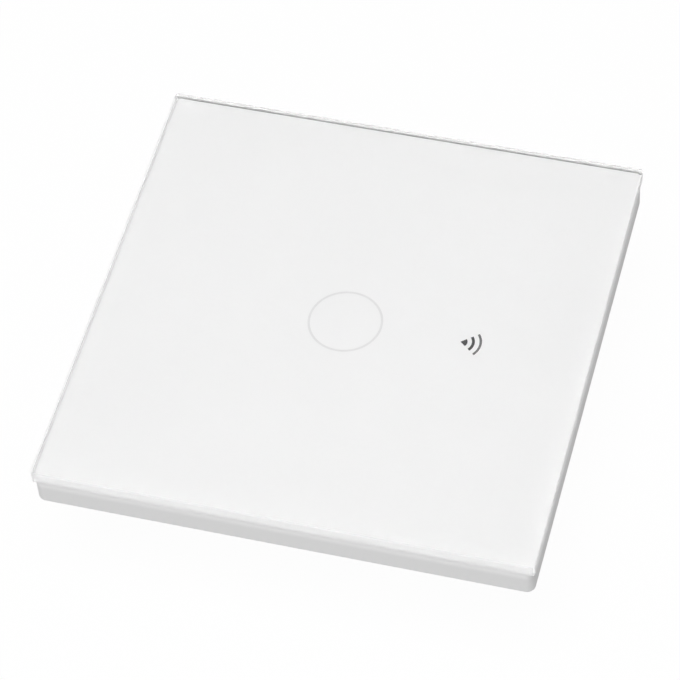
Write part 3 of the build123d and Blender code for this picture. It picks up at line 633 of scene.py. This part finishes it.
def foam(slot, cell, depth, roughness):
    """Open cells drawn as relief, with painted shade in the hollows and painted light on the walls
    between.
    """
    finish = Finish(slot, colours[slot], roughness)
    hollow = finish.cells(cell * MM)
    finish.relief(hollow, depth * MM)
    finish.vary(finish.between(hollow, hollow_from, hollow_to), painted_wall_light, painted_hollow_shade)
    return finish


finishes["conductive_foam"] = foam("conductive_foam", 0.4, 0.12, 0.95)
finishes["foam_tape"] = foam("foam_tape", 0.25, 0.03, 0.85)
print("foams:", [slot for slot in finishes if "foam" in slot])

# %% [markdown]
# Metal is told by its gloss: what is rolled or drawn has a grain along one way, and what
# is plated is clouded. Stretching the place before a noise gives the first, and a coarser
# noise the second. Ferrite is pressed powder, which is dull and full of specks.

# %% Metals
drawn_grain = 0.12
drawn_depth = 0.0015
cloud_grain = 1.6
drawn_share = 0.6
gloss_down, gloss_up = 0.07, 0.09


def metal(slot, roughness, stretch, tarnish):
    """Metal whose grain runs along the axis with the smallest scale in stretch."""
    finish = Finish(slot, colours[slot], roughness, {"Metallic": 1.0})
    drawn = finish.noise(drawn_grain * MM, 3.0, finish.stretched(*stretch))
    cloud = finish.noise(cloud_grain * MM)
    gloss = drawn * drawn_share + cloud * (1 - drawn_share)
    finish.set("Roughness", finish.spread(gloss, roughness - gloss_down, roughness + gloss_up))
    finish.grain = drawn * drawn_depth
    finish.relief(finish.grain, MM)
    finish.vary(finish.spread(cloud, 0.0, 1.0), 1.0, tarnish)
    return finish


finishes["zinc_steel"] = metal("zinc_steel", 0.30, (1.0, 1.0, 0.4), 0.90)
finishes["tinned_steel"] = metal("tinned_steel", 0.34, (1.0, 0.06, 1.0), 0.93)
finishes["gold_plate"] = metal("gold_plate", 0.22, (1.0, 1.0, 0.1), 0.92)
finishes["brass"] = metal("brass", 0.30, (1.0, 0.08, 0.08), 0.86)
thread = metal("zinc_steel", 0.30, (1.0, 1.0, 0.4), 0.90)

speck_size = 0.18
speck_depth = 0.02
speck_shades = (1.6, 0.7)
speck_gloss = (0.42, 0.60)
ferrite = Finish("ferrite", colours["ferrite"], 0.5)
specks = ferrite.noise(speck_size * MM, 4.0)
ferrite.relief(specks, speck_depth * MM)
ferrite.vary(ferrite.spread(specks, 0.0, 1.0), *speck_shades)
ferrite.set("Roughness", ferrite.spread(specks, *speck_gloss))
finishes["ferrite"] = ferrite
print(len(finishes), "finishes so far, and one for threads")

# %% [markdown]
# Threads and windings are too fine to be worth their faces. They are drawn as relief: a
# zigzag of the height, and for a thread of the height less the share of a whole turn, so
# that its ridge climbs as it goes round.

# %% Threads and windings
pole_pitch = 8.6
screw_axis_y = -18.7
thread_pitch = 0.6
thread_depth = 0.25
screw_head = 2.2
shank_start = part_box("terminal_screw_1")[0].z / MM + screw_head
shank_edge = 0.1
tape_pitch = 0.5
tape_depth = 0.04


def ridges(tree, value):
    """0 in the grooves and 1 on the ridges of a pattern that repeats at every whole number."""
    return abs(tree.maths("FRACT", value) - 0.5) * 2


x, y, z = thread.axes()
from_axis_x = (thread.maths("FRACT", x / pole_pitch + 0.5) - 0.5) * pole_pitch
turn = thread.maths("ARCTAN2", y - screw_axis_y, from_axis_x) / math.tau
on_shank = thread.between(z, shank_start, shank_start + shank_edge)
ridge = ridges(thread, z / thread_pitch - turn) * on_shank
thread.relief(ridge * thread_depth + thread.grain, MM)

tape = finishes["coil_tape"]
x, y, z = tape.axes()
tape.relief(ridges(tape, z / tape_pitch) * tape_depth + tape.grain, MM)
print("thread from", round(shank_start, 2), "mm up")

# %% [markdown]
# A printed board is green only where its lacquer lies: the cut edges show the laminate.
# Its tracks run in patches, across in some and along in others, and small plated holes
# are scattered between them. A picture of a board could be laid on it, but masks drawn
# from the place stay sharp at any distance and need no file.

# %% Printed boards
track_pitch = 1.0
track_width = 0.35
patch_size = 7.0
hole_spacing = 3.2
hole_radius = 0.22
laminate_edge = (0.42, 0.36, 0.20, 1.0)
plating = (0.62, 0.55, 0.40, 1.0)
track_edge = 0.04
track_rise = 0.02
hole_depth = 0.10
face_depth = 0.03
edge_roughness, face_roughness = 0.6, 0.3
lacquer_coat = 0.2
patch_split, patch_blend = 0.5, 0.02
copper_lift, copper_floor = 1.9, 0.01


def printed_board(slot, boards):
    """Lacquer, tracks and holes on the boards' faces, told from their edges by height."""
    finish = Finish(slot, colours[slot], face_roughness, {"Coat Weight": lacquer_coat})
    x, y, z = finish.axes()

    def tracks(value):
        beside = ridges(finish, value / track_pitch) * (track_pitch / 2)
        middle = track_width / 2
        return 1 - finish.between(beside, middle - track_edge, middle + track_edge)

    def scattered(size, output, shape="EUCLIDEAN"):
        settings = {"voronoi_dimensions": "2D", "distance": shape}
        values = {"Vector": finish.place, "Scale": 1 / (size * MM)}
        return finish.node("ShaderNodeTexVoronoi", settings, values, output)

    patches = scattered(patch_size, 1, "CHEBYCHEV")
    patch = finish.node("ShaderNodeSeparateXYZ", None, {"Vector": patches})
    across = finish.between(patch, patch_split - patch_blend, patch_split + patch_blend)
    copper = tracks(x) * across + tracks(y) * (1 - across)
    from_hole = scattered(hole_spacing, 0) * hole_spacing
    hole = 1 - finish.between(from_hole, hole_radius, hole_radius + track_edge)
    flat = 0
    for height in [corner.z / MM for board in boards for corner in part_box(board)]:
        flat = 1 - finish.between(abs(z - height), face_depth, 2 * face_depth) + flat
    paler = [min(1.0, copper_lift * channel + copper_floor) for channel in finish.colour[:3]]
    lacquer = finish.blend(copper, finish.colour, paler + [1.0])
    plated = finish.blend(hole, lacquer, plating)
    finish.set("Base Color", finish.blend(flat, laminate_edge, plated))
    finish.set("Roughness", edge_roughness - flat * (edge_roughness - face_roughness))
    finish.relief((copper * track_rise - hole * hole_depth) * flat, MM)
    return finish


finishes["circuit_board"] = printed_board("circuit_board", ("touch_board", "power_board"))
finishes["radio_laminate"] = printed_board("radio_laminate", ("radio_board",))
print("tracks", track_width, "mm wide on two kinds of board")

# %% [markdown]
# Some solids hold two materials: legs and leads come out of a body, and a can's end is bare
# metal. They could be cut in two, but the solids are fixed here, so a mask from the place
# tells the materials apart.

# %% Legs of the chips
tin = (0.66, 0.66, 0.64, 1.0)
chip_leg = 0.31
chip_half = 1.95
leg_edge = 0.02
leg_reach = 1.0
reach_edge = 0.1


def bare(finish, mask, roughness=0.32):
    """Bare metal where the mask is 1, over the finish as it stands."""
    shader = finish.shader.inputs
    body = Wire(finish, shader["Base Color"].links[0].from_socket)
    gloss = Wire(finish, shader["Roughness"].links[0].from_socket)
    finish.set("Base Color", finish.blend(mask, body, tin))
    finish.set("Roughness", gloss * (1 - mask) + mask * roughness)
    finish.set("Metallic", mask)


def chip_legs():
    """Both chips stand on the power board's front, and the touch chip hangs from its board."""
    finish = finishes["chip_epoxy"]
    x, y, z = finish.axes()
    legs = 0
    for node, up in (("power_chip", 1), ("touch_chip", -1)):
        low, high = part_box(node)
        foot = (low.z if up == 1 else high.z) / MM
        middle = (low.y + high.y) / 2 / MM
        near_board = 1 - finish.between((z - foot) * up, chip_leg, chip_leg + leg_edge)
        outside = finish.between(abs(y - middle), chip_half, chip_half + leg_edge)
        same_side = finish.between((z - foot) * up, -leg_reach, reach_edge - leg_reach)
        legs = near_board * outside * same_side + legs
    bare(finish, legs)


chip_legs()
print("legs bare below", chip_leg, "mm")

# %% [markdown]
# The varistor is a dipped disc on two leads, and the fuse resistor a lacquered barrel with
# a lead at each end. As with the legs, a mask saves a solid of its own for each lead, and
# here it needs only one limit: a height, or a distance from the middle.

# %% Leads
varistor = finishes["varistor_lacquer"]
x, y, z = varistor.axes()
varistor_low, varistor_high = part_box("varistor")
disc_top = varistor_low.z / MM + (varistor_high.x - varistor_low.x) / MM
dip_start, dip_end = 0.05, 0.15
bare(varistor, varistor.between(z, disc_top + dip_start, disc_top + dip_end))

fuse = finishes["fuse_lacquer"]
x, y, z = fuse.axes()
fuse_low, fuse_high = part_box("fuse_resistor")
fuse_middle = (fuse_low.x + fuse_high.x) / 2 / MM
fuse_half_length = 4.0
fuse_edge = 0.03
bare(fuse, fuse.between(abs(x - fuse_middle), fuse_half_length, fuse_half_length + fuse_edge))
print("leads bare above", round(disc_top, 2), "mm and", fuse_half_length, "mm out")

# %% [markdown]
# The can's sleeve is shrunk over its rim and leaves a disc of bare metal on its end, which
# is scored with a cross, where the can opens if its pressure rises. The cross could be cut
# into the mesh, but a line a tenth of a millimetre deep does as well in relief.

# %% The can's end
end_radius = 3.1
end_edge = 0.05
end_height = 0.1
score_half, score_edge = 0.08, 0.16
end_sink = 0.15
score_depth = 0.12
can = finishes["capacitor_sleeve"]
x, y, z = can.axes()
can_low, can_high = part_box("bulk_capacitor")
can_x, can_y = [(can_low[axis] + can_high[axis]) / 2 / MM for axis in (0, 1)]
out = can.maths("SQRT", (x - can_x) * (x - can_x) + (y - can_y) * (y - can_y))
end_at = can_low.z / MM
within = 1 - can.between(out, end_radius, end_radius + end_edge)
end = within * (1 - can.between(z, end_at + end_height, end_at + 2 * end_height))
from_cross = can.maths("MINIMUM", abs(x - can_x), abs(y - can_y))
score = 1 - can.between(from_cross, score_half, score_edge)
bare(can, end)
can.relief(can.grain - end * end_sink - end * score * score_depth, MM)
print("end disc", 2 * end_radius, "mm across")

# %% [markdown]
# The solids arrive with empty slots. They could be listed here one by one, but each takes
# the finish that the record names for it, so a new solid in the part is dressed without a
# change. Only the terminal screws get another, for the thread on their shanks.

# %% Dress the solids
for subpart in frame["record"]["subparts"]:
    node = subpart["node"]
    finish = thread if node.startswith("terminal_screw") else finishes[subpart["material_slot"]]
    for material_slot in solids[node].material_slots:
        material_slot.material = finish.material
print(len(finishes), "finishes")

# %% [markdown]
# Small parts, pads and solder joints repeat, so each kind is one rule in Geometry Nodes.
# A loop in Python could place copies too, but a rule keeps its measures as named inputs of
# one group, where they can be changed by hand afterwards.


# %% A rule with named inputs
class Rule(Tree):
    """A Geometry Nodes group with named inputs, which grows a piece from a plain mesh."""

    def __init__(self, name, inputs):
        super().__init__(bpy.data.node_groups.new(name, "GeometryNodeTree"))
        interface = self.node_tree.interface
        interface.new_socket("Geometry", in_out="OUTPUT", socket_type="NodeSocketGeometry")
        interface.new_socket("Geometry", in_out="INPUT", socket_type="NodeSocketGeometry")
        self.values = {}
        for label, (kind, value) in inputs.items():
            socket = interface.new_socket(label, in_out="INPUT", socket_type=kind)
            self.values[socket.identifier] = value
        self.entry = self.make("NodeGroupInput")
        self.exit = self.make("NodeGroupOutput")

    def given(self, label):
        return Wire(self, self.entry.outputs[label])

    def close(self, geometry, finish):
        whole = self.node("GeometryNodeRealizeInstances", None, {"Geometry": geometry})
        values = {"Geometry": whole, "Material": finish.material}
        self.feed(self.exit.inputs["Geometry"], self.node("GeometryNodeSetMaterial", None, values))

    def grow(self, seed_mesh):
        """The rule's result on a mesh, as a mesh of its own."""
        carrier = bpy.data.objects.new("carrier", seed_mesh)
        scene.collection.objects.link(carrier)
        modifier = carrier.modifiers.new("rule", "NODES")
        modifier.node_group = self.node_tree
        for identifier, value in self.values.items():
            modifier[identifier] = value
        bpy.context.view_layer.update()
        grown = carrier.evaluated_get(bpy.context.evaluated_depsgraph_get())
        mesh = bpy.data.meshes.new_from_object(grown)
        bpy.data.objects.remove(carrier)
        return mesh


# %% [markdown]
# Loose points go in, each with a turn as an attribute, and a block or a blunt cone stands
# on every one of them. A block is a chip part or a pad, and a cone a solder joint. The
# points' normals could give the turn, but loose points have none of use.


# %% Blocks and cones on points
cone_sides = 20


def points_mesh(places, height):
    """Loose points at x, y in mm and a height, each with a turn in degrees as an attribute."""
    mesh = bpy.data.meshes.new("points")
    mesh.from_pydata([(x * MM, y * MM, height) for x, y, turn in places], [], [])
    turns = mesh.attributes.new("turn", "FLOAT", "POINT")
    for value, (x, y, turn) in zip(turns.data, places):
        value.value = math.radians(turn)
    return mesh


def on_points(rule, instance):
    turn = rule.node("GeometryNodeInputNamedAttribute", {"data_type": "FLOAT"}, {"Name": "turn"})
    euler = rule.node("ShaderNodeCombineXYZ", None, {"Z": turn})
    rotation = rule.node("FunctionNodeEulerToRotation", None, {"Euler": euler})
    values = {"Points": rule.given("Geometry"), "Instance": instance, "Rotation": rotation}
    return rule.node("GeometryNodeInstanceOnPoints", None, values)


def blocks(name, places, height, size, finish):
    """The same block, size in mm, centred on every place."""
    rule = Rule(name, {"Size": ("NodeSocketVector", [side * MM for side in size])})
    cube = rule.node("GeometryNodeMeshCube", None, {"Size": rule.given("Size")})
    rule.close(on_points(rule, cube), finish)
    return rule.grow(points_mesh(places, height))


def cones(name, places, height, foot_radius, tip_radius, rise, finish):
    """The same blunt cone, in mm, standing on every place."""
    inputs = {"Foot radius": ("NodeSocketFloat", foot_radius * MM),
              "Tip radius": ("NodeSocketFloat", tip_radius * MM),
              "Rise": ("NodeSocketFloat", rise * MM)}
    rule = Rule(name, inputs)
    values = {"Vertices": cone_sides, "Radius Bottom": rule.given("Foot radius"),
              "Radius Top": rule.given("Tip radius"), "Depth": rule.given("Rise")}
    cone = rule.node("GeometryNodeMeshCone", None, values)
    rule.close(on_points(rule, cone), finish)
    return rule.grow(points_mesh(places, height))


# %% [markdown]
# The small parts are chip resistors: a tinned block from end to end, with a dark block
# round its middle. Rounded solder at their ends could be added, but they are a millimetre
# long. They stand where such boards have them, by the chips' legs and the lamps.

# %% Small parts on the boards
small_size = (1.0, 0.5, 0.36)
small_body = (0.56, 0.53, 0.40)
leg_pitch = 1.27
from_chip = 4.4
power_chip_x = -9.98
sink = 0.05 * MM
touch_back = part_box("touch_board")[0].z
power_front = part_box("power_board")[1].z
touch_chip_low, touch_chip_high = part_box("touch_chip")
chip_x, chip_y = [(touch_chip_low[axis] + touch_chip_high[axis]) / 2 / MM for axis in (0, 1)]


def row(start, step, count, turn):
    """Places in a straight row, in mm, all with one turn in degrees."""
    return [(start[0] + step[0] * place, start[1] + step[1] * place, turn)
            for place in range(count)]


from_middle = [leg_pitch * (place - 1.5) for place in range(4)]
legs_x = [chip_x + leg for leg in from_middle]
touch_places = [(x, chip_y + side * from_chip, 90) for x in legs_x for side in (-1, 1)]
touch_places += [(x, 2.4, 90) for x in legs_x[:3]]
touch_places += row((13.5, -4.5), (1.5, 0), 4, 90)
touch_places += row((11.2, 0.5), (0, 2.0), 5, 0)
touch_places += row((-11.2, 8.0), (0, 2.0), 3, 0)
power_places = [(x, y, 90) for x in (-4.8, -3.0, -1.2, 0.6, 2.4, 4.2) for y in (4.4, 7.4)]
power_places += [(power_chip_x + leg, 1.2, 90) for leg in from_middle]
power_places += row((8.0, 1.2), (3.0, 0), 2, 0)


def small_parts(name, places, board, way, body):
    """Chip resistors: a tinned block from end to end with a dark block round its middle."""
    for part, size, slot in (("ends", small_size, "tinned_steel"),
                             ("bodies", small_body, "black_plastic")):
        height = board + way * (size[2] / 2 * MM - sink)
        mesh = blocks(f"{name}_{part}", places, height, size, finishes[slot])
        make_piece(f"{name}_{part}", mesh, finishes[slot], body)
    print(name, len(places))


small_parts("touch_resistors", touch_places, touch_back, -1, "front_panel")
small_parts("power_resistors", power_places, power_front, 1, "base")

# %% [markdown]
# Every lead that comes through the power board ends in a cone of solder on its front, and
# the radio's board is held by pads along its two long sides. A joint's flank is hollow on a
# real board, but at this size a blunt cone with straight flanks looks the same.

# %% Solder joints and pads
fuse_lead_y = 19.18
fuse_lead_inset = 0.35
joint_foot, joint_tip, joint_rise = 0.9, 0.35, 0.7
lead_places = [(-19.5, -9.4), (-19.5, 2.1), (-12.0, -3.6), (-4.5, -9.4), (-4.5, 2.1),
               (8.9, -9.0), (17.0, -9.0), (8.9, -1.0), (17.0, -1.0), (8.8, 11.4),
               (12.3, 11.4), (-11.0, 11.2), (-1.0, 11.2), (3.8, 18.4), (8.8, 18.4),
               (fuse_low.x / MM + fuse_lead_inset, fuse_lead_y),
               (fuse_high.x / MM - fuse_lead_inset, fuse_lead_y)]
joint_places = [(x, y, 0) for x, y in lead_places]
solder = finishes["tinned_steel"]
joint_mesh = cones("solder_joints", joint_places, power_front - sink,
                   joint_foot, joint_tip, joint_rise, solder)
make_piece("solder_joints", joint_mesh, solder, "base")
pad_pitch = 1.5
pad_count = 10
pad_inset = 0.25
first_pad = 1.5
radio_low, radio_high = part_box("radio_board")
pad_x = radio_high.x / MM - pad_inset
pad_places = [(side * pad_x, radio_low.y / MM + first_pad + pad_pitch * place, 0)
              for side in (-1, 1) for place in range(pad_count)]
pad_size = (0.54, 0.8, 0.82)
gold = finishes["gold_plate"]
pad_mesh = blocks("radio_pads", pad_places, (radio_low.z + radio_high.z) / 2, pad_size, gold)
make_piece("radio_pads", pad_mesh, gold, "front_panel")

# %% [markdown]
# The radio's antenna is a copper strip that folds up and down at the end of its board. It
# follows a path, so the path is a row of corner points and the rule sweeps a flat profile
# along it. Its normals are held upright, or the strip would twist at the corners.

# %% Antenna of the radio board
antenna_width = 0.5
antenna_raise = 0.03
antenna_step = 1.5
antenna_folds = 10
antenna_inset = 1.25
antenna_reach = 6.0
antenna_margin = 1.2
antenna_low = radio_high.y / MM - antenna_reach
antenna_high = radio_high.y / MM - antenna_margin


def antenna_path():
    """A meander in the board's far end, as corner points in mm."""
    corners = []
    x = radio_low.x / MM + antenna_inset
    for fold in range(antenna_folds):
        ends = (antenna_low, antenna_high) if fold % 2 == 0 else (antenna_high, antenna_low)
        corners += [(x, ends[0]), (x, ends[1])]
        x += antenna_step
    return corners


def along_path(name, corners, height, width, thickness, finish):
    """A flat strip that follows a path of corner points."""
    inputs = {"Width": ("NodeSocketFloat", width * MM),
              "Thickness": ("NodeSocketFloat", thickness * MM)}
    rule = Rule(name, inputs)
    path = rule.node("GeometryNodeMeshToCurve", None, {"Mesh": rule.given("Geometry")})
    level = rule.node("GeometryNodeSetCurveNormal", {"mode": "Z_UP"}, {"Curve": path})
    values = {"Width": rule.given("Width"), "Height": rule.given("Thickness")}
    profile = rule.node("GeometryNodeCurvePrimitiveQuadrilateral", None, values)
    values = {"Curve": level, "Profile Curve": profile, "Fill Caps": True}
    rule.close(rule.node("GeometryNodeCurveToMesh", None, values), finish)
    seed_mesh = bpy.data.meshes.new("path")
    links = [(place, place + 1) for place in range(len(corners) - 1)]
    seed_mesh.from_pydata([(x * MM, y * MM, height) for x, y in corners], links, [])
    return rule.grow(seed_mesh)


antenna_mesh = along_path("antenna", antenna_path(), radio_low.z,
                          antenna_width, 2 * antenna_raise, gold)
antenna = make_piece("antenna", antenna_mesh, gold, "front_panel")
print("antenna measures", [round(side / MM, 2) for side in antenna.dimensions], "mm")
